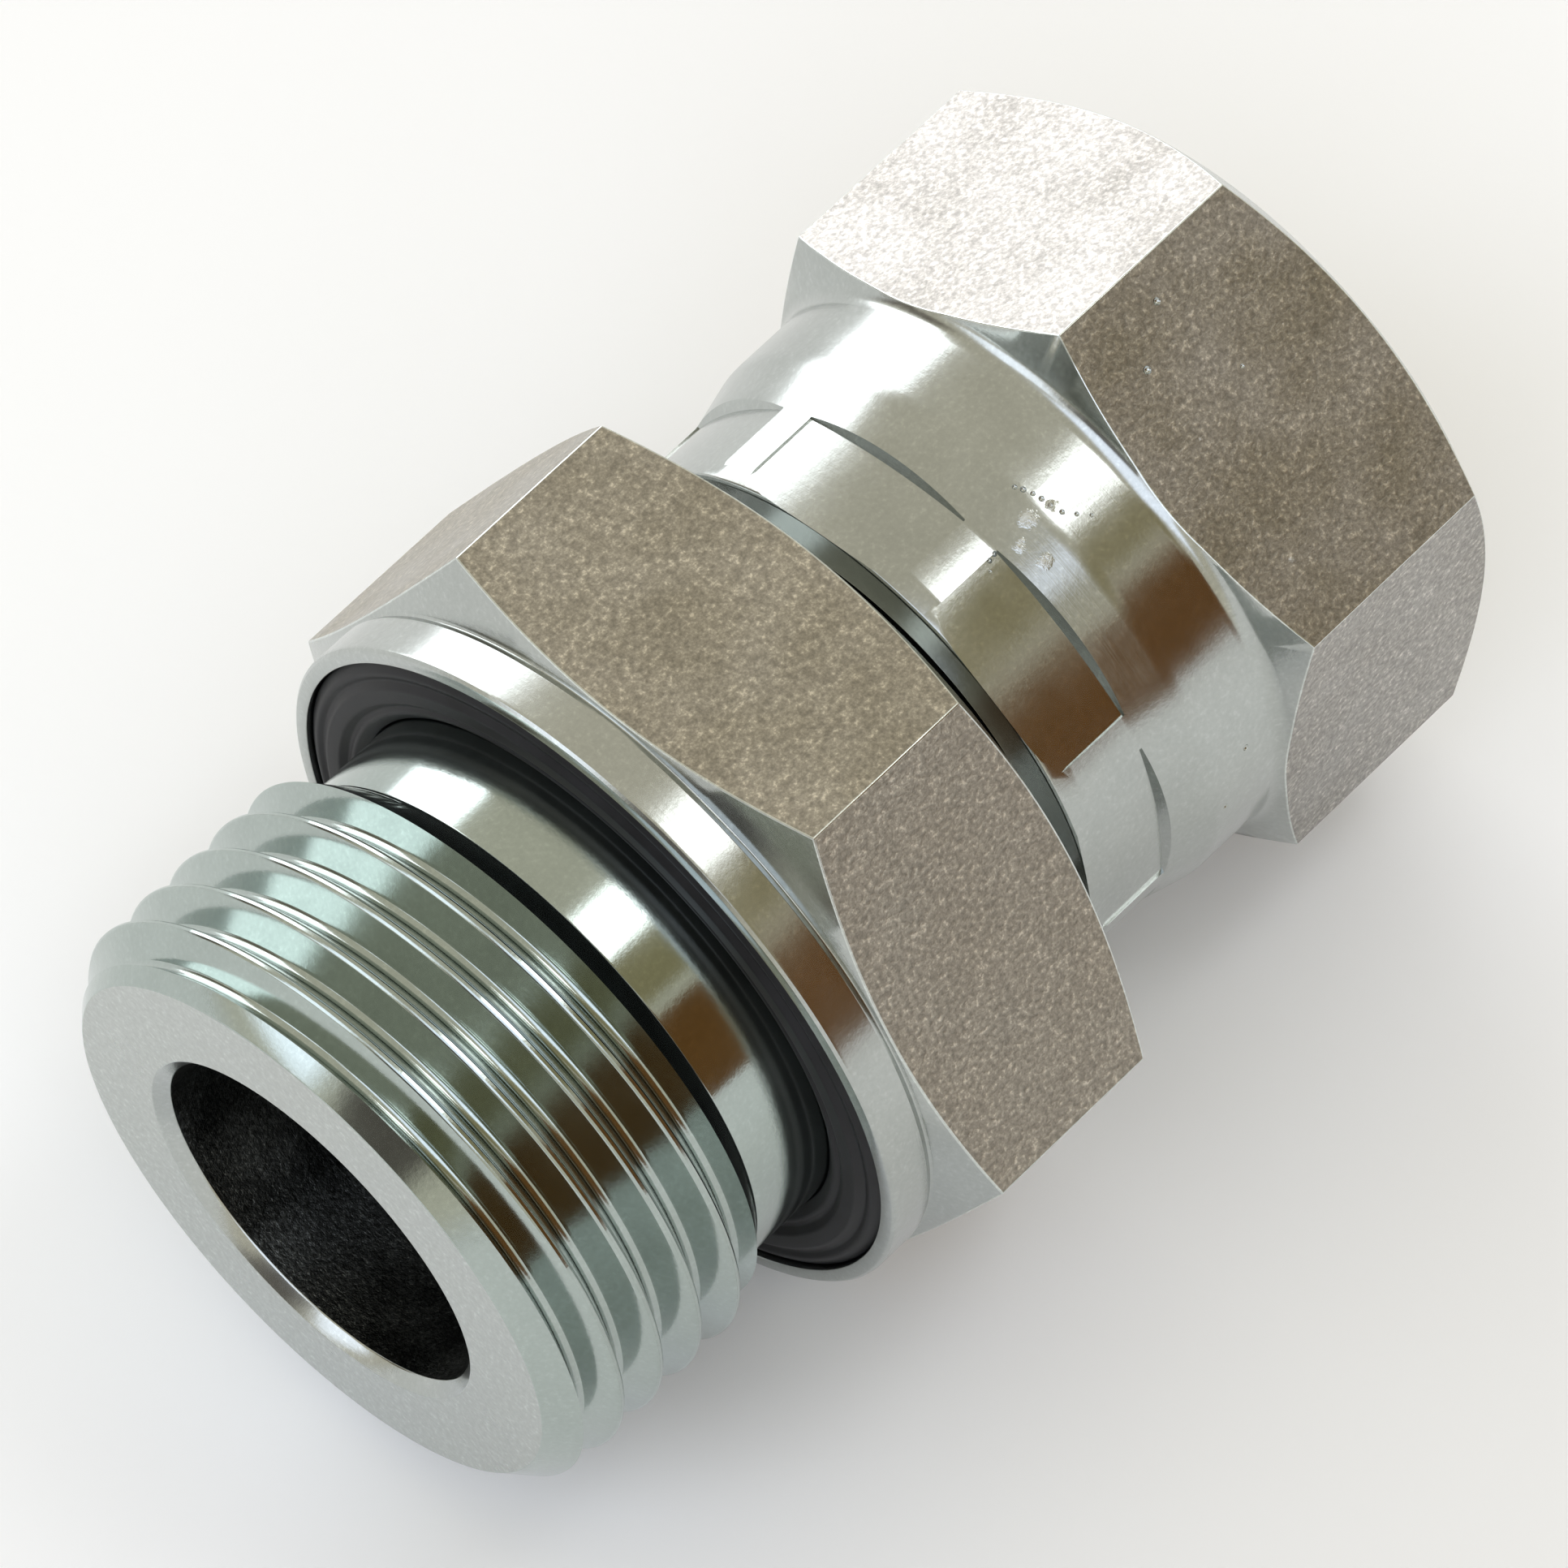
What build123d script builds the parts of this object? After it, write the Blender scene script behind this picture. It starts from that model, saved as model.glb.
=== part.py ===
"""Straight hydraulic adapter: a sealed stud on one end and a crimped swivel nut on the other.

The fitting lies on a flat of its body hexagon. Its axis runs along +X, from the stud's
open face to the nut's mouth, and +Z is up. The origin is under the middle of the
fitting, on the surface that it lies on. All sizes are in millimetres.
"""

import os
from math import cos, radians, sin, tan

from build123d import *

# Stud: 1 1/16 in 12 UN thread, drawn as a plain cylinder at its major diameter
thread_major_diameter = 26.99
thread_length = 10.3
stud_tip_diameter = 24.16
relief_diameter = 24.2
thread_end_angle = 45
stud_length = 15.35

# Flow passage: a wide bore from the stud, and a narrower one through the spigot
stud_bore_diameter = 15.7
stud_bore_chamfer = 0.55
nose_bore_diameter = 12.4
bore_step_behind_hex = 2.2
bore_step_angle = 59

# Collar with the groove for its captive seal
collar_diameter = 31.6
collar_length = 2.15
collar_edge_chamfer = 0.25
seal_groove_diameter = 30.2
seal_groove_depth = 1.9

# Elastomer ring
seal_wall_clearance = 0.05
seal_lip_height = 0.12
seal_edge_recess = 0.35
seal_lip_width = 1.1

# Hexagons, with the angle from the middle of a flat to the next corner
hexagon_sides = 6
flat_to_corner_angle = 180 / hexagon_sides

# Body hexagon
body_across_flats = 31.75
body_hex_length = 10.3
body_hex_chamfer_angle = 25

# Spigot that carries the nut, with a 37 degree seat inside its nose
spigot_diameter = 19.2
spigot_root_chamfer = 0.5
head_clearance = 0.05
head_length = 5.0
nose_edge_chamfer = 0.9
seat_mouth_diameter = 18.0
seat_angle = 37

# Swivel nut
nut_across_flats = 26.85
nut_hex_length = 11.85
nut_front_chamfer_angle = 27
nut_rear_chamfer_angle = 30
nut_rear_face_diameter = 26.0
nut_gap = 2.4
nut_turn = 2.8
neck_length = 9.95
neck_diameter = 26.4
neck_root_chamfer = 0.45

# Crimped end of the neck, closed in behind the spigot's head
crimp_diameter = 25.24
crimp_length = 4.0
crimp_flare_length = 2.2
crimp_bore_diameter = 20.2
crimp_edge_chamfer = 0.3
crimp_shoulder_depth = 4.4
crimp_shoulder_angle = 45
crimp_shoulder_gap = 0.3

# Die impressions round the crimped end, with a ridge left between each pair
impression_count = 8
impression_depth = 0.27
impression_angle = 37.5
impression_back_angle = 50
impression_turn = 11.8

# Inside of the nut: 7/8 in 14 UNF thread, drawn as a plain wall at its minor diameter
chamber_diameter = 22.0
nut_thread_minor_diameter = 20.27
nut_thread_relief_diameter = 22.7
nut_thread_relief_length = 1.7
nut_mouth_diameter = 22.9
nose_to_thread = 0.7

# Stations along the axis, counted from the stud's open face
seal_floor = stud_length + seal_groove_depth
hex_front = stud_length + collar_length
hex_rear = hex_front + body_hex_length
bore_step = hex_rear + bore_step_behind_hex
nut_front = hex_rear + nut_gap
nut_hex_front = nut_front + neck_length
nut_rear = nut_hex_front + nut_hex_length

# Radii that more than one outline uses
thread_radius = thread_major_diameter / 2
tip_radius = stud_tip_diameter / 2
relief_radius = relief_diameter / 2
stud_bore_radius = stud_bore_diameter / 2
nose_bore_radius = nose_bore_diameter / 2
collar_radius = collar_diameter / 2
groove_radius = seal_groove_diameter / 2
spigot_radius = spigot_diameter / 2
crimp_radius = crimp_diameter / 2
crimp_bore_radius = crimp_bore_diameter / 2
neck_radius = neck_diameter / 2
chamber_radius = chamber_diameter / 2
head_radius = chamber_radius - head_clearance
seat_mouth_radius = seat_mouth_diameter / 2
nut_rear_radius = nut_rear_face_diameter / 2
nut_thread_radius = nut_thread_minor_diameter / 2
nut_relief_radius = nut_thread_relief_diameter / 2
nut_mouth_radius = nut_mouth_diameter / 2

# Corners of the two hexagons, measured from the axis
body_corner_radius = body_across_flats / 2 / cos(radians(flat_to_corner_angle))
nut_corner_radius = nut_across_flats / 2 / cos(radians(flat_to_corner_angle))

# The crimped shoulder inside the nut, and the back of the spigot's head that it holds
shoulder_slope = tan(radians(crimp_shoulder_angle))
shoulder_start = nut_front + crimp_shoulder_depth
shoulder_end = shoulder_start + (chamber_radius - crimp_bore_radius) / shoulder_slope
head_back_shift = crimp_shoulder_gap / sin(radians(crimp_shoulder_angle))
head_back_start = shoulder_start + head_back_shift - (crimp_bore_radius - spigot_radius) / shoulder_slope
head_back_end = shoulder_start + head_back_shift + (head_radius - crimp_bore_radius) / shoulder_slope
nose_face = head_back_end + head_length

# Other cones and chamfers, worked out from their angles
tip_chamfer_end = thread_radius - tip_radius
relief_start = thread_length + (thread_radius - relief_radius) / tan(radians(thread_end_angle))
body_chamfer_depth = (body_corner_radius - collar_radius) * tan(radians(body_hex_chamfer_angle))
bore_step_end = bore_step + (stud_bore_radius - nose_bore_radius) / tan(radians(bore_step_angle))
seat_start = nose_face - (seat_mouth_radius - nose_bore_radius) / tan(radians(seat_angle))
nut_front_chamfer = (nut_corner_radius - neck_radius) * tan(radians(nut_front_chamfer_angle))
nut_rear_chamfer = (nut_corner_radius - nut_rear_radius) * tan(radians(nut_rear_chamfer_angle))
nut_relief_end = nose_face + nose_to_thread
nut_relief_start = nut_relief_end - nut_thread_relief_length
nut_thread_start = nut_relief_end + nut_relief_radius - nut_thread_radius
nut_thread_end = nut_rear - (nut_mouth_radius - nut_thread_radius)

# Frame: the axis lies above the surface by half the body's size across its flats
start = (-nut_rear / 2, 0, body_across_flats / 2)
turning_axis = Axis(start, (1, 0, 0))
lengthwise = Plane(origin=start, x_dir=(1, 0, 0), z_dir=(0, -1, 0))
crosswise = Plane(origin=start, x_dir=(0, 1, 0), z_dir=(1, 0, 0))

os.makedirs("parts", exist_ok=True)

# Body: hexagon bar, turned down to the stud, the collar and the spigot, then bored through
with BuildPart() as adapter_body:
    with BuildSketch(crosswise):
        RegularPolygon(radius=body_across_flats / 2, side_count=hexagon_sides, major_radius=False)
    extrude(amount=nose_face)
    with BuildSketch(lengthwise) as body_outline:
        with BuildLine():
            Polyline(
                (0, 0),
                (0, tip_radius),
                (tip_chamfer_end, thread_radius),
                (thread_length, thread_radius),
                (relief_start, relief_radius),
                (seal_floor, relief_radius),
                (seal_floor, groove_radius),
                (stud_length, groove_radius),
                (stud_length, collar_radius - collar_edge_chamfer),
                (stud_length + collar_edge_chamfer, collar_radius),
                (hex_front, collar_radius),
                (hex_front + body_chamfer_depth, body_corner_radius),
                (hex_rear - body_chamfer_depth, body_corner_radius),
                (hex_rear, collar_radius),
                (hex_rear, spigot_radius),
                (head_back_start, spigot_radius),
                (head_back_end, head_radius),
                (nose_face - nose_edge_chamfer, head_radius),
                (nose_face, head_radius - nose_edge_chamfer),
                (nose_face, 0),
                close=True,
            )
        make_face()
        spigot_root = body_outline.vertices().sort_by_distance((hex_rear, spigot_radius))[0]
        chamfer(spigot_root, length=spigot_root_chamfer)
    revolve(axis=turning_axis, mode=Mode.INTERSECT)
    with BuildSketch(lengthwise):
        with BuildLine():
            Polyline(
                (0, 0),
                (0, stud_bore_radius + stud_bore_chamfer),
                (stud_bore_chamfer, stud_bore_radius),
                (bore_step, stud_bore_radius),
                (bore_step_end, nose_bore_radius),
                (seat_start, nose_bore_radius),
                (nose_face, seat_mouth_radius),
                (nose_face, 0),
                close=True,
            )
        make_face()
    revolve(axis=turning_axis, mode=Mode.SUBTRACT)

adapter_body.part.label = "adapter_body"
export_step(adapter_body.part, "parts/adapter_body.step")

# Seal: elastomer ring held in the collar's groove, with a lip just proud of the rim
seal_inner_radius = relief_radius + seal_wall_clearance
seal_outer_radius = groove_radius - seal_wall_clearance
seal_lip_middle = (seal_inner_radius + seal_outer_radius) / 2
seal_edge = stud_length + seal_edge_recess
seal_crest = stud_length - seal_lip_height

with BuildPart() as stud_seal:
    with BuildSketch(lengthwise):
        with BuildLine():
            Polyline(
                (seal_edge, seal_inner_radius),
                (seal_floor, seal_inner_radius),
                (seal_floor, seal_outer_radius),
                (seal_edge, seal_outer_radius),
                (seal_crest, seal_lip_middle + seal_lip_width / 2),
                (seal_crest, seal_lip_middle - seal_lip_width / 2),
                close=True,
            )
        make_face()
    revolve(axis=turning_axis)

stud_seal.part.label = "stud_seal"
export_step(stud_seal.part, "parts/stud_seal.step")

# Nut: hexagon bar with a turned neck, bored and threaded, its end crimped by a ring of dies
flare_start = nut_front + crimp_length
flare_end = flare_start + crimp_flare_length
impression_radius = crimp_radius - impression_depth
impression_top = neck_radius + impression_depth
impression_back = (impression_top - impression_radius) / tan(radians(impression_back_angle))
impression_pitch = 360 / impression_count
first_impression = nut_turn + impression_turn + (impression_pitch - impression_angle) / 2

with BuildPart() as swivel_nut:
    with BuildSketch(crosswise.offset(nut_front)):
        RegularPolygon(
            radius=nut_across_flats / 2,
            side_count=hexagon_sides,
            major_radius=False,
            rotation=nut_turn + flat_to_corner_angle,
        )
    extrude(amount=nut_rear - nut_front)
    with BuildSketch(lengthwise) as nut_outline:
        with BuildLine():
            Polyline(
                (flare_start, crimp_radius),
                (nut_front + crimp_edge_chamfer, crimp_radius),
                (nut_front, crimp_radius - crimp_edge_chamfer),
                (nut_front, 0),
                (nut_rear, 0),
                (nut_rear, nut_rear_radius),
                (nut_rear - nut_rear_chamfer, nut_corner_radius),
                (nut_hex_front + nut_front_chamfer, nut_corner_radius),
                (nut_hex_front, neck_radius),
                (flare_end, neck_radius),
            )
            TangentArc((flare_end, neck_radius), (flare_start, crimp_radius), tangent=(-1, 0))
        make_face()
        neck_root = nut_outline.vertices().sort_by_distance((nut_hex_front, neck_radius))[0]
        chamfer(neck_root, length=neck_root_chamfer)
    revolve(axis=turning_axis, mode=Mode.INTERSECT)
    with BuildSketch(lengthwise):
        with BuildLine():
            Polyline(
                (nut_front, 0),
                (nut_front, crimp_bore_radius + crimp_edge_chamfer),
                (nut_front + crimp_edge_chamfer, crimp_bore_radius),
                (shoulder_start, crimp_bore_radius),
                (shoulder_end, chamber_radius),
                (nut_relief_start, chamber_radius),
                (nut_relief_start + nut_relief_radius - chamber_radius, nut_relief_radius),
                (nut_relief_end, nut_relief_radius),
                (nut_thread_start, nut_thread_radius),
                (nut_thread_end, nut_thread_radius),
                (nut_rear, nut_mouth_radius),
                (nut_rear, 0),
                close=True,
            )
        make_face()
    revolve(axis=turning_axis, mode=Mode.SUBTRACT)
    for index in range(impression_count):
        with BuildSketch(lengthwise.rotated((first_impression + index * impression_pitch, 0, 0))):
            with BuildLine():
                Polyline(
                    (nut_front, impression_radius),
                    (nut_front + crimp_length, impression_radius),
                    (nut_front + crimp_length + impression_back, impression_top),
                    (nut_front, impression_top),
                    close=True,
                )
            make_face()
        revolve(axis=turning_axis, revolution_arc=impression_angle, mode=Mode.SUBTRACT)

swivel_nut.part.label = "swivel_nut"
export_step(swivel_nut.part, "parts/swivel_nut.step")
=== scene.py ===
"""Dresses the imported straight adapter: the threaded stud and body hexagon, the black seal in its
collar and the crimped swivel nut, each modelled over the CAD frame with its own finish."""

from math import cos, pi, radians, sin, tan

import bmesh
import bpy
from bpy.props import FloatProperty, FloatVectorProperty, PointerProperty
from mathutils import Matrix, Vector


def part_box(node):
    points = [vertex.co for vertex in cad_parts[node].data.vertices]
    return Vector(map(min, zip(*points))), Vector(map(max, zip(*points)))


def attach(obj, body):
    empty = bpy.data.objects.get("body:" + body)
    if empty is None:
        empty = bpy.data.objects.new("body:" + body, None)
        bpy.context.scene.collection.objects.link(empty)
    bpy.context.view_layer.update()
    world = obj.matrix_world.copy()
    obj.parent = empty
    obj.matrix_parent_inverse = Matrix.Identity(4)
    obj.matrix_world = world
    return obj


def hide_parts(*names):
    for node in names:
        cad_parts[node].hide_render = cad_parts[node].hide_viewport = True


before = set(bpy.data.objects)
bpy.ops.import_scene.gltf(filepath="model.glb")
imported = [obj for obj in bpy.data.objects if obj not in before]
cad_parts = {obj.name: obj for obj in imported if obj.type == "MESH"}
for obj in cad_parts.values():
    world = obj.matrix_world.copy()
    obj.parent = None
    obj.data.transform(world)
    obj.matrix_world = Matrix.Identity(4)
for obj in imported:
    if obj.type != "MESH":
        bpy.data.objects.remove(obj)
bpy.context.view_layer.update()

bl_info = {
    "name": "Straight adapter with swivel nut",
    "version": (1, 0, 0),
    "blender": (4, 5, 0),
    "location": "3D View > Sidebar > Adapter",
    "description": "Models the adapter's body, seal and swivel nut over their packed frame",
    "category": "Object",
}

MM = 0.001
MICRON = 0.001 * MM
WELD = 2 * MICRON
BODY_LOW, BODY_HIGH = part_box("adapter_body")
START = BODY_LOW.x
AXIS_HEIGHT = (BODY_LOW.z + BODY_HIGH.z) / 2
AXIS = Vector((1, 0, 0))
HEXAGON = 6
ROUND_STEPS = 180
SMOOTH_ANGLE = radians(30)

# Edges and chamfers that both hexagons share
BLANK_ALLOWANCE = 0.3 * MM  # how far the turned blank stands past a hexagon's corners
EDGE_BREAK = 0.13 * MM
FLAT_FRACTION = 0.995  # what lies nearer the axis than this part of a flat isn't painted as one

# Body: what the photograph doesn't show, and its cones
BODY_CHAMFER = radians(25)
BORE_CHAMFER = 0.5 * MM
BORE_STEP = 2.2 * MM  # how far behind the hexagon the wide bore ends
BORE_STEP_ANGLE = radians(59)
HEAD_BACK = 34.52 * MM  # where the spigot widens to its head
SEAT_ANGLE = radians(37)
THREAD_DEPTH = 1.3 * MM
CREST_FLAT = 0.13 * MM  # half the flat of a thread's crest
CREST_ANGLE, CREST_PLACE = radians(113.5), 0.9 * MM  # where a crest was measured

# Nut: its turn on the body, its hexagon's chamfers and its inside
NUT_TURN = radians(2.8)
NUT_FRONT_CHAMFER = radians(27)
NUT_REAR_CHAMFER = radians(30)
NUT_REAR_FACE = 13.0 * MM
NUT_MOUTH = 11.45 * MM
CRIMP_BORE = 10.1 * MM
SHOULDER_DEPTH = 4.4 * MM
RELIEF_RADIUS, RELIEF_END = 11.35 * MM, 41.57 * MM
RELIEF_LENGTH, RELIEF_LEAD = 1.35 * MM, 1.7 * MM
NUT_GROOVE_START = 40.9 * MM
GROOVE_TURNS = 7

# Dies that crimp the nut
DIE_COUNT = 8
DIE_TURN = radians(11.8)  # from the nut's turn to a ridge
DIE_RADIUS = 20 * MM
DIE_SWEEP = radians(23.2)
DIE_BACK = radians(60)


def length(size, name, description):
    """A length that the user can change, from its size in millimetres."""
    return FloatProperty(
        name=name, description=description, default=size * MM, unit="LENGTH", precision=5
    )


def colour(shade, name, description):
    """A colour that the user can change."""
    return FloatVectorProperty(
        name=name, description=description, default=shade, size=3, subtype="COLOR", min=0, max=8
    )


class AdapterBodySizes(bpy.types.PropertyGroup):
    """Sizes of the one-piece body, counted from the stud's open face."""

    thread_diameter: length(26.99, "Thread diameter", "Major diameter of the stud's thread")
    thread_pitch: length(2.1167, "Thread pitch", "Distance between crests of the stud's thread")
    thread_length: length(10.3, "Thread length", "Where the stud's full thread ends")
    tip_diameter: length(24.16, "Tip diameter", "Diameter of the stud's flat open face")
    relief_diameter: length(24.2, "Relief diameter", "Diameter of the polished groove behind the thread")
    stud_length: length(15.35, "Stud length", "From the open face to the collar's rim")
    bore_diameter: length(15.7, "Stud bore", "Diameter of the wide bore in the stud")
    nose_bore_diameter: length(12.4, "Nose bore", "Diameter of the narrower bore behind it")
    collar_diameter: length(31.6, "Collar diameter", "Diameter of the round collar")
    collar_length: length(2.15, "Collar length", "Length of the round collar")
    groove_diameter: length(30.2, "Seal groove", "Outer diameter of the seal's groove in the collar")
    groove_depth: length(1.9, "Groove depth", "Depth of the seal's groove in the collar")
    across_flats: length(31.75, "Across flats", "Size of the body hexagon across its flats")
    hexagon_length: length(10.3, "Hexagon length", "Length of the body hexagon")
    spigot_diameter: length(19.2, "Spigot diameter", "Diameter of the spigot that the nut turns on")
    head_diameter: length(21.9, "Head diameter", "Diameter of the spigot's head inside the nut")
    seat_diameter: length(18.0, "Seat mouth", "Diameter of the cone seat at the spigot's nose")


class AdapterNutSizes(bpy.types.PropertyGroup):
    """Sizes of the crimped swivel nut."""

    front: length(30.2, "Front", "Distance of the nut's crimped end from the stud's open face")
    across_flats: length(26.85, "Across flats", "Size of the nut's hexagon across its flats")
    neck_length: length(9.95, "Neck length", "From the crimped end to the nut's hexagon")
    neck_diameter: length(26.4, "Neck diameter", "Diameter of the neck in front of the hexagon")
    hexagon_length: length(11.85, "Hexagon length", "Length of the nut's hexagon")
    crimp_diameter: length(25.24, "Crimp diameter", "Diameter over the ridges of the crimped end")
    crimp_length: length(4.0, "Crimp length", "Length of the die impressions")
    flare_length: length(2.2, "Flare length", "Length of the flare from the crimp to the neck")
    impression_depth: length(0.34, "Impression depth", "Depth of a die impression at its middle")
    chamber_diameter: length(22.0, "Chamber", "Diameter of the chamber round the spigot's head")
    thread_diameter: length(22.225, "Thread diameter", "Major diameter of the nut's own thread")
    thread_bore: length(20.27, "Thread bore", "Minor diameter of the nut's own thread")
    thread_pitch: length(1.814, "Thread pitch", "Distance between crests of the nut's own thread")


class AdapterFinish(bpy.types.PropertyGroup):
    """Colours of the finishes."""

    zinc: colour((0.44, 0.465, 0.45), "Turned zinc", "Bright plating on the turned faces")
    thread_zinc: colour((0.40, 0.455, 0.435), "Thread zinc", "Blue-green plating on the stud's thread")
    body_flats: colour((0.36, 0.335, 0.285), "Body flats", "Grainy plating on the body's flats")
    nut_flats: colour((0.36, 0.345, 0.32), "Nut flats", "Grainy plating on the nut's flats")
    rubber: colour((0.012, 0.012, 0.014), "Rubber", "Black elastomer of the seal")


class AdapterStudio(bpy.types.PropertyGroup):
    """The room round the adapter."""

    floor: colour((0.96, 0.975, 1.0), "Floor", "Pale table under the adapter")
    ceiling: colour((0.72, 0.67, 0.54), "Ceiling", "Warm grey light from above")


def spot(distance, radius, angle=0.0):
    """The point at a distance along the axis, a radius from it and an angle from the top."""
    return Vector((START + distance, -radius * sin(angle), AXIS_HEIGHT + radius * cos(angle)))


def outward(angle):
    """The direction that points away from the axis at an angle from the top."""
    return Vector((0, -sin(angle), cos(angle)))


def softened(corners, segments=3):
    """Rounds an outline's corners. Each corner is its distance, its radius and its rounding."""
    soft = []
    for index, (distance, radius, rounding) in enumerate(corners):
        here = Vector((distance, radius))
        before = Vector(corners[index - 1][:2]) - here
        after = Vector(corners[(index + 1) % len(corners)][:2]) - here
        turn = pi - before.angle(after)
        if rounding == 0 or turn < radians(1):
            soft.append(tuple(here))
            continue
        back = min(rounding * tan(turn / 2), 0.45 * before.length, 0.45 * after.length)
        first = here + before.normalized() * back
        last = here + after.normalized() * back
        middle = (before.normalized() + after.normalized()).normalized()
        centre = here + middle * (back / sin(turn / 2))
        radial = back / tan(turn / 2)
        for step in range(segments + 1):
            blend = first.lerp(last, step / segments) - centre
            soft.append(tuple(centre + blend.normalized() * radial))
    return soft


def turned(name, outline, turn=0.0, setback=0.0, sweep=2 * pi, steps=ROUND_STEPS):
    """Draws a closed outline in a plane through the axis and spins it into a solid.

    A part turn is centred on the outline's plane. A setback moves the centre of the spin
    behind the axis, for a flatter curve.
    """
    bpy.ops.object.select_all(action="DESELECT")
    bpy.ops.mesh.primitive_plane_add(size=MM)
    piece = bpy.context.object
    piece.name = piece.data.name = name
    bpy.ops.object.mode_set(mode="EDIT")
    bpy.ops.mesh.select_mode(type="VERT")
    bpy.ops.mesh.merge(type="CENTER")
    centre = spot(0, -setback, turn)
    aside = Matrix.Rotation(-sweep / 2, 3, AXIS)
    points = [centre + aside @ (spot(distance, radius, turn) - centre) for distance, radius in outline]
    bpy.ops.transform.translate(value=points[0])
    for here, there in zip(points, points[1:] + points[:1]):
        bpy.ops.mesh.extrude_region_move(TRANSFORM_OT_translate={"value": there - here})
    bpy.ops.mesh.select_all(action="SELECT")
    bpy.ops.mesh.remove_doubles(threshold=WELD)
    bpy.ops.mesh.spin(steps=steps, angle=-sweep, center=centre, axis=AXIS)
    if sweep < 2 * pi:
        bpy.ops.mesh.select_all(action="DESELECT")
        bpy.ops.mesh.select_non_manifold()
        bpy.ops.mesh.fill_holes(sides=0)
    bpy.ops.mesh.select_all(action="SELECT")
    bpy.ops.mesh.remove_doubles(threshold=WELD)
    bpy.ops.mesh.normals_make_consistent(inside=False)
    bpy.ops.object.mode_set(mode="OBJECT")
    return piece


def select_edges(piece, test):
    """In edit mode, selects the edges that pass a test."""
    bpy.ops.mesh.select_mode(type="EDGE")
    bpy.ops.mesh.select_all(action="DESELECT")
    mesh = bmesh.from_edit_mesh(piece.data)
    for edge in mesh.edges:
        edge.select_set(test(edge))
    bmesh.update_edit_mesh(piece.data)


def saw_flats(piece, across_flats, turn, softness):
    """Saws six flats on the blank and breaks their edges."""
    bpy.context.view_layer.objects.active = piece
    bpy.ops.object.mode_set(mode="EDIT")
    flats = [outward(turn + index * 2 * pi / HEXAGON) for index in range(HEXAGON)]
    for way in flats:
        bpy.ops.mesh.select_all(action="SELECT")
        bpy.ops.mesh.bisect(
            plane_co=spot(0, 0) + way * across_flats / 2,
            plane_no=way,
            use_fill=True,
            clear_outer=True,
            threshold=0.1 * MICRON,
        )

    def bounds_flat(edge):
        on_flat = [any(face.normal.dot(way) > 0.9999 for way in flats) for face in edge.link_faces]
        return any(on_flat) and edge.calc_face_angle(0) > radians(15)

    select_edges(piece, bounds_flat)
    bpy.ops.mesh.bevel(offset=softness, segments=2, material=EDGE, clamp_overlap=True)
    bpy.ops.object.mode_set(mode="OBJECT")
    return flats


def groove_cutter(name, outline, start, turn, pitch, turns, steps=120):
    """A cutter that winds round the axis as a right-hand screw, from its groove's outline."""
    bpy.ops.object.select_all(action="DESELECT")
    bpy.ops.mesh.primitive_plane_add(size=MM)
    cutter = bpy.context.object
    cutter.name = cutter.data.name = name
    bpy.ops.object.mode_set(mode="EDIT")
    bpy.ops.mesh.select_mode(type="VERT")
    bpy.ops.mesh.merge(type="CENTER")
    points = [outward(turn) * radius + AXIS * distance for distance, radius in outline]
    bpy.ops.transform.translate(value=points[0])
    for here, there in zip(points, points[1:] + points[:1]):
        bpy.ops.mesh.extrude_region_move(TRANSFORM_OT_translate={"value": there - here})
    bpy.ops.mesh.select_all(action="SELECT")
    bpy.ops.mesh.remove_doubles(threshold=WELD)
    bpy.ops.object.mode_set(mode="OBJECT")
    winding = cutter.modifiers.new("Winding", "SCREW")
    winding.axis = "X"
    winding.angle = 2 * pi
    winding.screw_offset = pitch
    winding.iterations = turns
    winding.steps = winding.render_steps = steps
    bpy.ops.object.modifier_apply(modifier=winding.name)
    cutter.location = spot(start, 0)
    bpy.ops.object.transform_apply(location=True, rotation=False, scale=False)
    bpy.ops.object.mode_set(mode="EDIT")
    bpy.ops.mesh.select_all(action="DESELECT")
    bpy.ops.mesh.select_mode(type="EDGE")
    bpy.ops.mesh.select_non_manifold()
    bpy.ops.mesh.fill_holes(sides=0)
    bpy.ops.mesh.select_all(action="SELECT")
    bpy.ops.mesh.normals_make_consistent(inside=False)
    bpy.ops.object.mode_set(mode="OBJECT")
    return cutter


def cut_away(piece, cutter):
    """Takes the cutter's shape out of the piece and deletes the cutter."""
    bpy.ops.object.select_all(action="DESELECT")
    bpy.context.view_layer.objects.active = piece
    piece.select_set(True)
    cut = piece.modifiers.new("Cut", "BOOLEAN")
    cut.operation = "DIFFERENCE"
    cut.solver = "EXACT"
    cut.object = cutter
    bpy.ops.object.modifier_apply(modifier=cut.name)
    bpy.data.objects.remove(cutter)


def dented(piece, dents):
    """Presses small pits into a piece. Each is its distance, radius, angle in degrees and size."""
    bpy.ops.object.select_all(action="DESELECT")
    for index, (distance, radius, angle, size) in enumerate(dents):
        bpy.ops.mesh.primitive_ico_sphere_add(
            subdivisions=2,
            radius=size * MM,
            location=spot(distance * MM, radius * MM + 0.45 * size * MM, radians(angle)),
            rotation=(index, 0.7 * index, 1.3 * index),
        )
        if index == 0:
            punches = bpy.context.object
            bpy.ops.object.transform_apply(location=True, rotation=True, scale=False)
            bpy.ops.object.mode_set(mode="EDIT")
    bpy.ops.object.mode_set(mode="OBJECT")
    cut_away(piece, punches)


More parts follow.
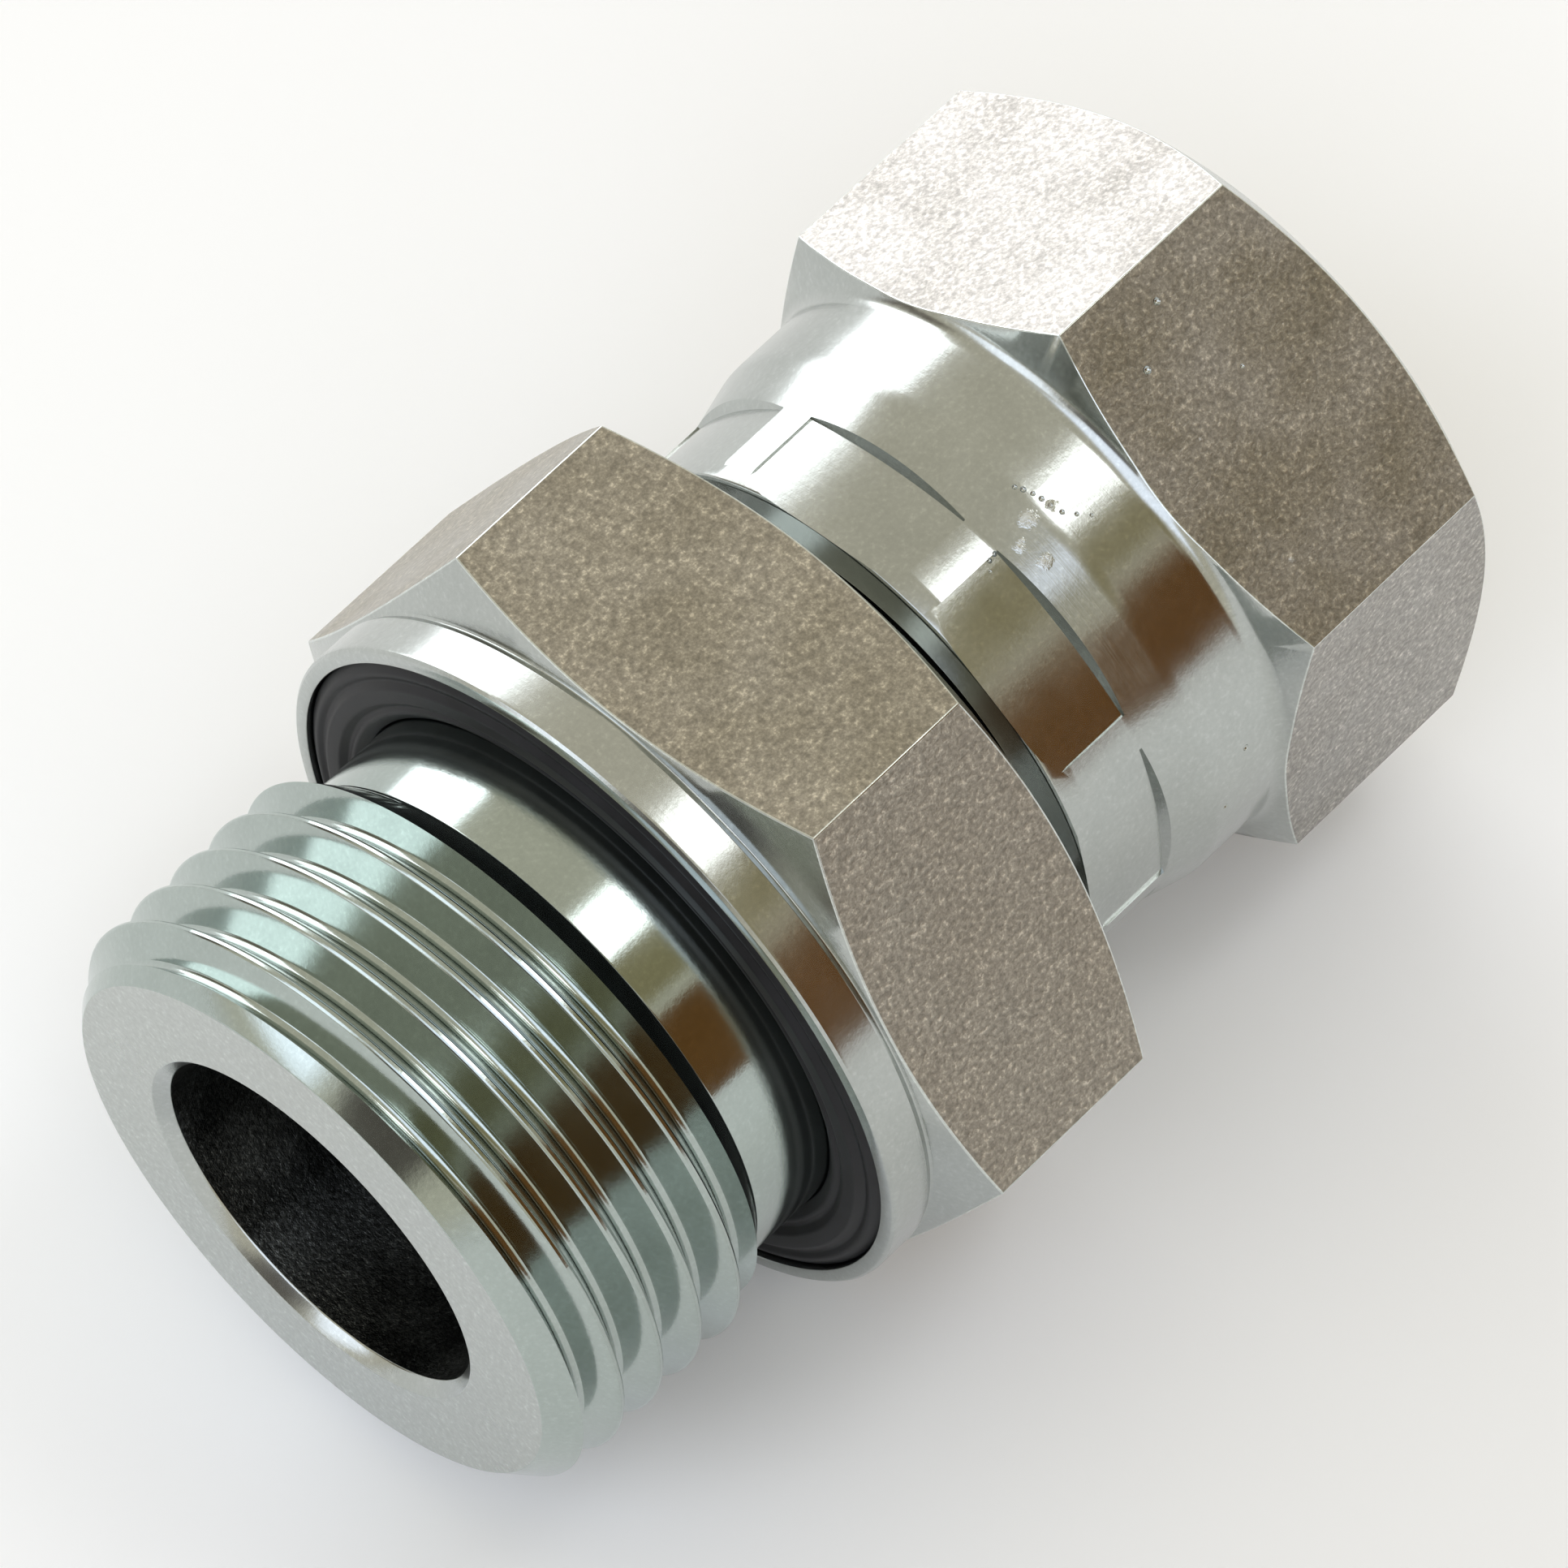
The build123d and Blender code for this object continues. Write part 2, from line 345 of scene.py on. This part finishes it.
def smooth(piece):
    """Shades the piece smooth between its edges and lets its large faces stay flat."""
    bpy.ops.object.select_all(action="DESELECT")
    bpy.context.view_layer.objects.active = piece
    piece.select_set(True)
    bpy.ops.object.shade_smooth_by_angle(angle=SMOOTH_ANGLE)
    weighting = piece.modifiers.new("Weighting", "WEIGHTED_NORMAL")
    weighting.keep_sharp = True
    bpy.ops.object.modifier_apply(modifier=weighting.name)


def paint(piece, index, test):
    """Gives a finish to the faces whose centre and normal pass a test."""
    for face in piece.data.polygons:
        if test(face.center, face.normal):
            face.material_index = index


def paint_flats(piece, flats, across_flats, front, rear):
    """Gives a hexagon's flats their own finish."""
    near_flat = across_flats / 2 * FLAT_FRACTION
    paint(
        piece,
        FLAT,
        lambda at, way: front < at.x - START < rear
        and from_axis(at) > near_flat
        and any(way.dot(flat) > 0.9999 for flat in flats),
    )


def from_axis(point):
    """Distance of a point from the part's axis."""
    return Vector((0, point.y, point.z - AXIS_HEIGHT)).length


def hand_over(piece, body, slot, *nodes):
    """Says what the piece stands for and what it moves with; the slot is not used."""
    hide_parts(*nodes)
    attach(piece, body)


# the BORE slot's dark tone is painted shade inside the stud's bore
TURNED, FLAT, EDGE, FACE, BORE, THREAD = range(6)
BARE_METAL = (0.56, 0.56, 0.52)


def node(tree, kind, inputs=None, **settings):
    """Adds a shader node with its own settings and its inputs as values or links."""
    made = tree.nodes.new(kind)
    for key, value in settings.items():
        setattr(made, key, value)
    for key, value in (inputs or {}).items():
        if isinstance(value, bpy.types.NodeSocket):
            tree.links.new(value, made.inputs[key])
        else:
            made.inputs[key].default_value = value
    return made


def ramp(tree, factor, stops):
    """A colour ramp through (place, colour) stops."""
    made = node(tree, "ShaderNodeValToRGB", {"Fac": factor})
    band = made.color_ramp
    while len(band.elements) < len(stops):
        band.elements.new(0.5)
    for element, (place, shade) in zip(band.elements, stops):
        element.position = place
        element.color = (*shade, 1)
    return made.outputs["Color"]


def spread(tree, factor, low, high, start=0.0, end=1.0):
    """Maps a factor from one range to another."""
    made = node(
        tree,
        "ShaderNodeMapRange",
        {"Value": factor, "From Min": start, "From Max": end, "To Min": low, "To Max": high},
    )
    return made.outputs["Result"]


def noise(tree, place, scale, detail=3.0, roughness=0.55, stretch=(1, 1, 1)):
    """A noise in the part's own coordinates, in features to the metre."""
    mapping = node(tree, "ShaderNodeMapping", {"Vector": place, "Scale": stretch})
    made = node(
        tree,
        "ShaderNodeTexNoise",
        {"Vector": mapping.outputs[0], "Scale": scale, "Detail": detail, "Roughness": roughness},
    )
    return made.outputs["Fac"]


def tinted(shade, amount):
    """A shade made lighter or darker."""
    return tuple(part * amount for part in shade)


def product(tree, one, other):
    """Two shades multiplied."""
    made = node(
        tree,
        "ShaderNodeMix",
        {"Factor": 1.0, "A": one, "B": other},
        data_type="RGBA",
        blend_type="MULTIPLY",
    )
    return made.outputs["Result"]


def near(tree, place, spots):
    """A mask round some spots, each a point and how far its mark reaches, with a ragged edge."""
    ragged = node(
        tree, "ShaderNodeTexNoise", {"Vector": place, "Scale": 1500.0, "Detail": 4.0, "Roughness": 0.7}
    ).outputs["Fac"]
    mask = None
    for point, reach in spots:
        away = node(
            tree, "ShaderNodeVectorMath", {0: place, 1: point}, operation="DISTANCE"
        ).outputs["Value"]
        shown = spread(tree, away, 1, 0, 0.2 * reach, 1.2 * reach)
        mask = shown if mask is None else node(
            tree, "ShaderNodeMath", {0: mask, 1: shown}, operation="MAXIMUM"
        ).outputs[0]
    both = node(tree, "ShaderNodeMath", {0: mask, 1: ragged}, operation="MULTIPLY").outputs[0]
    return spread(tree, both, 0, 0.8, 0.34, 0.62)


def plated(name, shade, roughness, speckle, grain_depth, line_depth, mottle, scuffs=()):
    """Zinc plating: its tone, how rough it is, its speckle, its turning lines and its scuffs."""
    made = bpy.data.materials.new(name)
    made.use_nodes = True
    tree = made.node_tree
    metal = tree.nodes["Principled BSDF"]
    metal.inputs["Metallic"].default_value = 1
    place = node(tree, "ShaderNodeTexCoord").outputs["Object"]
    blotches = noise(tree, place, 260, detail=4)
    tone = ramp(
        tree,
        blotches,
        [(0.3, tinted(shade, 1 - mottle)), (0.5, shade), (0.72, tinted(shade, 1 + mottle))],
    )
    fine = noise(tree, place, 4300, detail=2, roughness=0.7)
    specks = ramp(
        tree,
        fine,
        [
            (0.3, (1 - speckle,) * 3),
            (0.5, (1 - 0.2 * speckle,) * 3),
            (0.62, (1 + 0.6 * speckle,) * 3),
            (0.7, (1 + 2.2 * speckle,) * 3),
        ],
    )
    tone = product(tree, tone, specks)
    rough = spread(tree, blotches, roughness * 0.8, roughness * 1.25, 0.3, 0.7)
    turning = noise(tree, place, 4600, detail=3, roughness=0.7, stretch=(1, 0.02, 0.02))
    bump = node(
        tree, "ShaderNodeBump", {"Strength": 1.0, "Distance": line_depth * MICRON, "Height": turning}
    )
    bump = node(
        tree,
        "ShaderNodeBump",
        {"Strength": 1.0, "Distance": grain_depth * MICRON, "Height": fine, "Normal": bump.outputs[0]},
    )
    if scuffs:
        worn = near(tree, place, scuffs)
        tone = node(
            tree,
            "ShaderNodeMix",
            {"Factor": worn, "A": tone, "B": (*BARE_METAL, 1)},
            data_type="RGBA",
        ).outputs["Result"]
        rough = node(
            tree, "ShaderNodeMath", {0: worn, 1: 0.22, 2: rough}, operation="MULTIPLY_ADD"
        ).outputs[0]
        torn = noise(tree, place, 2600, detail=5, roughness=0.75)
        torn = node(tree, "ShaderNodeMath", {0: torn, 1: worn}, operation="MULTIPLY").outputs[0]
        bump = node(
            tree,
            "ShaderNodeBump",
            {"Strength": 1.0, "Distance": 90 * MICRON, "Height": torn, "Normal": bump.outputs[0]},
        )
    tree.links.new(tone, metal.inputs["Base Color"])
    tree.links.new(rough, metal.inputs["Roughness"])
    tree.links.new(bump.outputs["Normal"], metal.inputs["Normal"])
    return made


def zinc_finishes(finish, prefix, flat, scuffs=()):
    """The finishes of a plated piece, in the order of their slots."""
    zinc, thread = tuple(finish.zinc), tuple(finish.thread_zinc)
    return [
        plated(prefix + " turned zinc", zinc, 0.19, 0.06, 2.5, 3.5, 0.06, scuffs),
        plated(prefix + " grainy flats", flat, 0.38, 0.34, 18, 1.0, 0.05, scuffs),
        plated(prefix + " worn edges", tinted(zinc, 1.4), 0.26, 0.1, 3, 1.0, 0.05),
        plated(prefix + " faced ends", tinted(zinc, 1.1), 0.32, 0.1, 3, 2.5, 0.04),
        # the bore's finish is the zinc at 0.3: painted shade inside the hole, laid over its own speckled
        # drilled grain
        plated(prefix + " drilled bore with painted shade", tinted(zinc, 0.3), 0.34, 0.5, 40, 14, 0.3),
        plated(prefix + " rolled thread", thread, 0.13, 0.05, 2.0, 0.6, 0.05),
    ]


def rubber_finish(shade):
    """Black elastomer, smooth with a faint moulded grain."""
    made = bpy.data.materials.new("black elastomer")
    made.use_nodes = True
    tree = made.node_tree
    skin = tree.nodes["Principled BSDF"]
    place = node(tree, "ShaderNodeTexCoord").outputs["Object"]
    cloud = noise(tree, place, 500)
    tree.links.new(
        ramp(tree, cloud, [(0.3, tinted(shade, 0.6)), (0.7, tinted(shade, 1.3))]),
        skin.inputs["Base Color"],
    )
    tree.links.new(spread(tree, cloud, 0.42, 0.56), skin.inputs["Roughness"])
    skin.inputs["Specular IOR Level"].default_value = 0.2
    bump = node(
        tree,
        "ShaderNodeBump",
        {"Strength": 1.0, "Distance": 3 * MICRON, "Height": noise(tree, place, 3000)},
    )
    tree.links.new(bump.outputs["Normal"], skin.inputs["Normal"])
    return made


class ADAPTER_OT_body(bpy.types.Operator):
    """Models the body with its threaded stud, collar, hexagon and spigot"""

    bl_idname = "adapter.body"
    bl_label = "Body"

    def execute(self, context):
        sizes = context.scene.adapter_body
        thread, relief = sizes.thread_diameter / 2, sizes.relief_diameter / 2
        tip, bore, nose = sizes.tip_diameter / 2, sizes.bore_diameter / 2, sizes.nose_bore_diameter / 2
        collar, groove = sizes.collar_diameter / 2, sizes.groove_diameter / 2
        spigot, head, seat = sizes.spigot_diameter / 2, sizes.head_diameter / 2, sizes.seat_diameter / 2
        rim = sizes.stud_length
        hexagon = rim + sizes.collar_length
        rear = hexagon + sizes.hexagon_length
        blank = sizes.across_flats / 2 / cos(pi / HEXAGON) + BLANK_ALLOWANCE
        slope = (blank - collar) * tan(BODY_CHAMFER)
        nose_face = BODY_HIGH.x - START
        step = rear + BORE_STEP
        outline = [
            (0, tip, 0.12 * MM),
            (thread - tip, thread, 0.1 * MM),
            (sizes.thread_length, thread, 0.1 * MM),
            (sizes.thread_length + thread - relief, relief, 0.25 * MM),
            (rim + sizes.groove_depth, relief, 0),
            (rim + sizes.groove_depth, groove, 0),
            (rim, groove, 0.05 * MM),
            (rim, collar, 0.25 * MM),
            (hexagon - 0.25 * MM, collar, 0.1 * MM),
            (hexagon, collar - 0.12 * MM, 0.05 * MM),
            (hexagon + 0.08 * MM, collar, 0),
            (hexagon + slope, blank, 0),
            (rear - slope, blank, 0),
            (rear, collar, 0.1 * MM),
            (rear, spigot, 0.4 * MM),
            (HEAD_BACK, spigot, 0.1 * MM),
            (HEAD_BACK + head - spigot, head, 0.2 * MM),
            (nose_face, head, 0.8 * MM),
            (nose_face, seat, 0.1 * MM),
            (nose_face - (seat - nose) / tan(SEAT_ANGLE), nose, 0.2 * MM),
            (step + (bore - nose) / tan(BORE_STEP_ANGLE), nose, 0.1 * MM),
            (step, bore, 0.2 * MM),
            (BORE_CHAMFER, bore, 0.15 * MM),
            (0, bore + BORE_CHAMFER, 0.1 * MM),
        ]
        corner = pi / HEXAGON
        piece = turned("hexagon_body", softened(outline), turn=corner + pi / ROUND_STEPS)
        finish = context.scene.adapter_finish
        for plating in zinc_finishes(finish, "body", tuple(finish.body_flats)):
            piece.data.materials.append(plating)
        flats = saw_flats(piece, sizes.across_flats, 0, EDGE_BREAK)
        self.cut_thread(piece, sizes)
        paint_flats(piece, flats, sizes.across_flats, hexagon, rear)
        paint(piece, THREAD, lambda at, way: from_axis(at) > relief - MM and at.x - START < rim)
        paint(piece, FACE, lambda at, way: at.x - START < 0.1 * MM and way.x < -0.95)
        # the faces inside the stud's bore take the darkened finish, which is painted shade for the
        # hole's depth
        paint(piece, BORE, lambda at, way: from_axis(at) < bore + 0.05 * MM and at.x - START > 0.6 * MM)
        smooth(piece)
        hand_over(piece, "fitting", "zinc_plated_body", "adapter_body")
        return {"FINISHED"}

    def cut_thread(self, piece, sizes):
        """Cuts the stud's right-hand thread, with rounded crests and a rounded root."""
        pitch, crest = sizes.thread_pitch, sizes.thread_diameter / 2
        open_half = pitch / 2 - CREST_FLAT
        root = crest - THREAD_DEPTH
        flank = tan(radians(30))
        half = [
            (0, root),
            (0.14 * MM, root + 0.02 * MM),
            (0.25 * MM, root + 0.1 * MM),
            (open_half - (0.09 * MM) * flank, crest - 0.09 * MM),
            (open_half + 0.02 * MM, crest - 0.035 * MM),
            (open_half + 0.07 * MM, crest - 0.004 * MM),
            (open_half + 0.08 * MM, crest + 0.3 * MM),
        ]
        outline = half + [(-distance, radius) for distance, radius in reversed(half[1:])]
        first = CREST_PLACE + pitch / 2 - pitch * CREST_ANGLE / (2 * pi) - pitch
        cut_away(piece, groove_cutter("stud groove", outline, first, 0.0, pitch, GROOVE_TURNS))


class ADAPTER_OT_seal(bpy.types.Operator):
    """Models the black seal in the collar's groove"""

    bl_idname = "adapter.seal"
    bl_label = "Seal"

    def execute(self, context):
        sizes = context.scene.adapter_body
        inner, outer = sizes.relief_diameter / 2 + 0.05 * MM, sizes.groove_diameter / 2 - 0.05 * MM
        rim, floor = sizes.stud_length, sizes.stud_length + sizes.groove_depth
        middle = (inner + outer) / 2
        outline = [
            (rim + 0.35 * MM, inner, 0.1 * MM),
            (floor, inner, 0),
            (floor, outer, 0),
            (rim + 0.3 * MM, outer, 0.15 * MM),
            (rim - 0.03 * MM, middle + 0.95 * MM, 0.25 * MM),
            (rim + 0.14 * MM, middle + 0.62 * MM, 0.15 * MM),
            (rim - 0.12 * MM, middle + 0.3 * MM, 0.2 * MM),
            (rim - 0.12 * MM, middle - 0.35 * MM, 0.2 * MM),
            (rim + 0.16 * MM, middle - 0.68 * MM, 0.15 * MM),
            (rim, middle - 0.95 * MM, 0.2 * MM),
        ]
        piece = turned("collar_seal", softened(outline, segments=4))
        piece.data.materials.append(rubber_finish(tuple(context.scene.adapter_finish.rubber)))
        smooth(piece)
        hand_over(piece, "fitting", "black_elastomer", "stud_seal")
        return {"FINISHED"}


class ADAPTER_OT_nut(bpy.types.Operator):
    """Models the crimped swivel nut with its own thread"""

    bl_idname = "adapter.nut"
    bl_label = "Swivel nut"

    def execute(self, context):
        sizes = context.scene.adapter_nut
        front, hexagon = sizes.front, sizes.front + sizes.neck_length
        rear = hexagon + sizes.hexagon_length
        crimp, neck = sizes.crimp_diameter / 2, sizes.neck_diameter / 2
        chamber, bore = sizes.chamber_diameter / 2, sizes.thread_bore / 2
        blank = sizes.across_flats / 2 / cos(pi / HEXAGON) + BLANK_ALLOWANCE
        front_slope = (blank - neck) * tan(NUT_FRONT_CHAMFER)
        rear_slope = (blank - NUT_REAR_FACE) * tan(NUT_REAR_CHAMFER)
        shoulder = front + SHOULDER_DEPTH
        flare = front + sizes.crimp_length
        outline = [
            (front, crimp - 0.25 * MM, 0.2 * MM),
            (front + 0.9 * MM, crimp, 0.8 * MM),
            (flare, crimp, 1.2 * MM),
            (flare + sizes.flare_length, neck, 2.6 * MM),
            (hexagon, neck, 0.9 * MM),
            (hexagon + front_slope, blank, 0),
            (rear - rear_slope, blank, 0),
            (rear, NUT_REAR_FACE, 0.2 * MM),
            (rear, NUT_MOUTH, 0.1 * MM),
            (rear - NUT_MOUTH + bore, bore, 0.1 * MM),
            (RELIEF_END + RELIEF_RADIUS - bore, bore, 0.1 * MM),
            (RELIEF_END, RELIEF_RADIUS, 0.1 * MM),
            (RELIEF_END - RELIEF_LENGTH, RELIEF_RADIUS, 0.1 * MM),
            (RELIEF_END - RELIEF_LEAD, chamber, 0.1 * MM),
            (shoulder + chamber - CRIMP_BORE, chamber, 0.2 * MM),
            (shoulder, CRIMP_BORE, 0.2 * MM),
            (front, CRIMP_BORE, 0.3 * MM),
        ]
        piece = turned("crimped_nut", softened(outline, segments=5), turn=NUT_TURN + pi / ROUND_STEPS)
        finish = context.scene.adapter_finish
        scuffs = [
            (spot(distance * MM, radius * MM, radians(angle)), reach * MM)
            for distance, radius, angle, reach in NUT_SCUFFS
        ]
        for plating in zinc_finishes(finish, "nut", tuple(finish.nut_flats), scuffs):
            piece.data.materials.append(plating)
        flats = saw_flats(piece, sizes.across_flats, NUT_TURN + pi / HEXAGON, EDGE_BREAK)
        self.crimp(piece, sizes)
        self.cut_thread(piece, sizes)
        dented(piece, NUT_DENTS)
        paint_flats(piece, flats, sizes.across_flats, hexagon, rear)
        paint(piece, FACE, lambda at, way: at.x - START > rear - 0.1 * MM and way.x > 0.95)
        smooth(piece)
        hand_over(piece, "nut", "zinc_plated_nut", "swivel_nut")
        return {"FINISHED"}

    def crimp(self, piece, sizes):
        """Presses the eight die impressions into the crimped end, leaving ridges between them."""
        crimp, neck = sizes.crimp_diameter / 2, sizes.neck_diameter / 2
        floor, top = crimp - sizes.impression_depth, neck + sizes.impression_depth
        end = sizes.front + sizes.crimp_length
        outline = [
            (sizes.front - MM, floor),
            (end, floor),
            (end + (top - floor) / tan(DIE_BACK), top),
            (sizes.front - MM, top),
        ]
        pitch = 2 * pi / DIE_COUNT
        cutter = turned(
            "crimping dies",
            outline,
            turn=NUT_TURN + DIE_TURN + pitch / 2,
            setback=DIE_RADIUS - floor,
            sweep=DIE_SWEEP,
            steps=24,
        )
        bpy.ops.object.mode_set(mode="EDIT")
        bpy.ops.mesh.select_all(action="SELECT")
        for _ in range(1, DIE_COUNT):
            bpy.ops.mesh.duplicate()
            bpy.ops.transform.rotate(value=pitch, orient_axis="X", center_override=spot(0, 0))
        bpy.ops.object.mode_set(mode="OBJECT")
        cut_away(piece, cutter)

    def cut_thread(self, piece, sizes):
        """Cuts the nut's own right-hand thread."""
        pitch, bore = sizes.thread_pitch, sizes.thread_bore / 2
        open_half = pitch * 3 / 8
        depth = sizes.thread_diameter / 2 - bore
        half = [
            (0, bore + depth),
            (0.11 * MM, bore + depth),
            (open_half, bore),
            (open_half + 0.05 * MM, bore - 0.3 * MM),
        ]
        outline = half + [(-distance, radius) for distance, radius in reversed(half[1:])]
        cut_away(
            piece, groove_cutter("nut groove", outline, NUT_GROOVE_START, 0.0, pitch, GROOVE_TURNS)
        )


def aim(azimuth, elevation):
    """The direction at an azimuth from +Y towards +X and an elevation, both in degrees."""
    flat = cos(radians(elevation))
    return Vector(
        (sin(radians(azimuth)) * flat, cos(radians(azimuth)) * flat, sin(radians(elevation)))
    )


# Marks of handling: pits with their distance, radius, angle and size, and scuffs with their
# distance, radius, angle and reach, in millimetres and degrees
NUT_DENTS = [
    (36.39, 13.17, 12.9, 0.12),
    (36.55, 13.18, 14.2, 0.14),
    (36.7, 13.2, 15.8, 0.13),
    (36.8, 13.2, 17.4, 0.15),
    (36.86, 13.2, 19.2, 0.13),
    (37.02, 13.2, 21.3, 0.14),
    (37.4, 13.2, 23.2, 0.12),
    (37.81, 13.2, 25.0, 0.1),
    (33.78, 12.5, 18.8, 0.12),
    (34.1, 12.5, 18.5, 0.12),
    (33.5, 12.5, 20.3, 0.1),
    (38.35, 13.2, 79.1, 0.16),
    (36.93, 13.2, 89.3, 0.14),
    (43.23, 14.14, 14.5, 0.2),
    (45.35, 14.76, 8.3, 0.18),
    (46.4, 13.6, 24.0, 0.12),
]
NUT_SCUFFS = [
    (35.9, 13.05, 18.6, 0.75),
    (35.3, 12.9, 25.4, 0.6),
    (35.0, 12.8, 20.2, 0.6),
    (36.9, 13.2, 19.5, 0.5),
    (42.91, 14.22, 52.1, 0.25),
    (43.18, 13.47, 28.0, 0.25),
]

# What stands round the table: azimuth, elevation, half width, half height and soft edge in
# degrees, and colour
ROOM = {
    "window": (18, 17, 19, 17, 4, (3.9, 3.95, 4.05)),
    "lamp": (126, 64, 8, 7, 4, (4.6, 4.6, 4.6)),
    "shelf": (150, 49, 26, 9, 5, (0.38, 0.32, 0.17)),
    "wall": (162, 17, 26, 18, 4, (0.19, 0.085, 0.024)),
    "big softbox": (240, 48, 26, 20, 8, (1.75, 1.85, 2.1)),
    "side softbox": (300, 28, 12, 16, 6, (2.0, 2.1, 2.3)),
    "dark stand": (268, 18, 12, 15, 6, (0.14, 0.12, 0.1)),
    "dark door": (340, 16, 9, 14, 6, (0.16, 0.13, 0.1)),
}


class ADAPTER_OT_studio(bpy.types.Operator):
    """Sets the table, the room's light and the camera"""

    bl_idname = "adapter.studio"
    bl_label = "Studio"

    def execute(self, context):
        studio = context.scene.adapter_studio
        self.lay_table(studio)
        self.light_room(context, studio)
        self.place_camera(context)
        context.scene.view_settings.view_transform = "Standard"
        return {"FINISHED"}

    def lay_table(self, studio):
        """A wide pale table under the adapter."""
        bpy.ops.object.select_all(action="DESELECT")
        bpy.ops.mesh.primitive_circle_add(vertices=96, radius=4, fill_type="NGON")
        table = bpy.context.object
        table.name = table.data.name = "table"
        made = bpy.data.materials.new("pale table")
        made.use_nodes = True
        skin = made.node_tree.nodes["Principled BSDF"]
        skin.inputs["Base Color"].default_value = (*studio.floor, 1)
        skin.inputs["Roughness"].default_value = 0.9
        skin.inputs["Specular IOR Level"].default_value = 0
        table.data.materials.append(made)

    def light_room(self, context, studio):
        """Lights the scene from the room alone: a warm ceiling with windows, lamps and dark walls."""
        world = bpy.data.worlds.new("room")
        context.scene.world = world
        world.use_nodes = True
        tree = world.node_tree
        look = node(tree, "ShaderNodeTexCoord").outputs["Generated"]
        height = node(tree, "ShaderNodeSeparateXYZ", {0: look}).outputs["Z"]
        ceiling, horizon = tuple(studio.ceiling), (0.9, 0.9, 0.88)
        shade = ramp(
            tree,
            spread(tree, height, 0, 1, -1, 1),
            [(0.0, horizon), (0.5, horizon), (0.56, tinted(ceiling, 1.1)), (1.0, ceiling)],
        )
        for name, (azimuth, elevation, wide, high, edge, colour_of) in ROOM.items():
            middle = aim(azimuth, elevation)
            across = middle.cross(Vector((0, 0, 1))).normalized()
            upward = across.cross(middle)
            masks = []
            for way, half in ((across, wide), (upward, high)):
                dot = node(
                    tree, "ShaderNodeVectorMath", {0: look, 1: way}, operation="DOT_PRODUCT"
                ).outputs["Value"]
                off = node(tree, "ShaderNodeMath", {0: dot}, operation="ABSOLUTE").outputs[0]
                side = node(
                    tree,
                    "ShaderNodeMapRange",
                    {
                        "Value": off,
                        "From Min": sin(radians(half + edge / 2)),
                        "From Max": sin(radians(half - edge / 2)),
                    },
                    interpolation_type="SMOOTHSTEP",
                )
                masks.append(side.outputs["Result"])
            facing = node(tree, "ShaderNodeVectorMath", {0: look, 1: middle}, operation="DOT_PRODUCT")
            ahead = node(
                tree, "ShaderNodeMath", {0: facing.outputs["Value"], 1: 0.0}, operation="GREATER_THAN"
            ).outputs[0]
            mask = node(tree, "ShaderNodeMath", {0: masks[0], 1: masks[1]}, operation="MULTIPLY")
            mask = node(tree, "ShaderNodeMath", {0: mask.outputs[0], 1: ahead}, operation="MULTIPLY")
            mix = node(
                tree,
                "ShaderNodeMix",
                {"Factor": mask.outputs[0], "A": shade, "B": (*colour_of, 1)},
                data_type="RGBA",
            )
            mix.label = name
            shade = mix.outputs["Result"]
        background = tree.nodes["Background"]
        tree.links.new(shade, background.inputs["Color"])

    def place_camera(self, context):
        """The camera that took the photograph, worked out from it."""
        lens, sensor = 275.3, 36.0
        place = Vector((-0.16570, -0.17157, 0.41134))
        right = Vector((0.68252415, -0.73022647, -0.03049713))
        up = Vector((0.63637499, 0.57324694, 0.51615387))
        data = bpy.data.cameras.new("camera")
        data.lens, data.sensor_width = lens, sensor
        data.clip_start, data.clip_end = 0.01, 20
        camera = bpy.data.objects.new("camera", data)
        context.scene.collection.objects.link(camera)
        turn = Matrix((right, up, right.cross(up))).transposed().to_4x4()
        camera.matrix_world = Matrix.Translation(place) @ turn
        context.scene.camera = camera


class ADAPTER_PT_build(bpy.types.Panel):
    """Lists the steps that build the adapter"""

    bl_label = "Straight adapter"
    bl_idname = "ADAPTER_PT_build"
    bl_space_type = "VIEW_3D"
    bl_region_type = "UI"
    bl_category = "Adapter"

    def draw(self, context):
        for group in GROUPS:
            box = self.layout.box()
            for key in GROUPS[group].__annotations__:
                box.prop(getattr(context.scene, group), key)
        for step in STEPS:
            self.layout.operator(step.bl_idname)


GROUPS = {
    "adapter_body": AdapterBodySizes,
    "adapter_nut": AdapterNutSizes,
    "adapter_finish": AdapterFinish,
    "adapter_studio": AdapterStudio,
}
STEPS = (ADAPTER_OT_body, ADAPTER_OT_seal, ADAPTER_OT_nut, ADAPTER_OT_studio)


def register():
    for kind in (*GROUPS.values(), *STEPS, ADAPTER_PT_build):
        bpy.utils.register_class(kind)
    for name, kind in GROUPS.items():
        setattr(bpy.types.Scene, name, PointerProperty(type=kind))


def unregister():
    for name in GROUPS:
        delattr(bpy.types.Scene, name)
    for kind in (ADAPTER_PT_build, *STEPS[::-1], *list(GROUPS.values())[::-1]):
        bpy.utils.unregister_class(kind)


def main():
    """Builds the adapter and its studio."""
    register()
    bpy.ops.adapter.body()
    bpy.ops.adapter.seal()
    bpy.ops.adapter.nut()
    bpy.ops.adapter.studio()


if __name__ == "__main__":
    main()
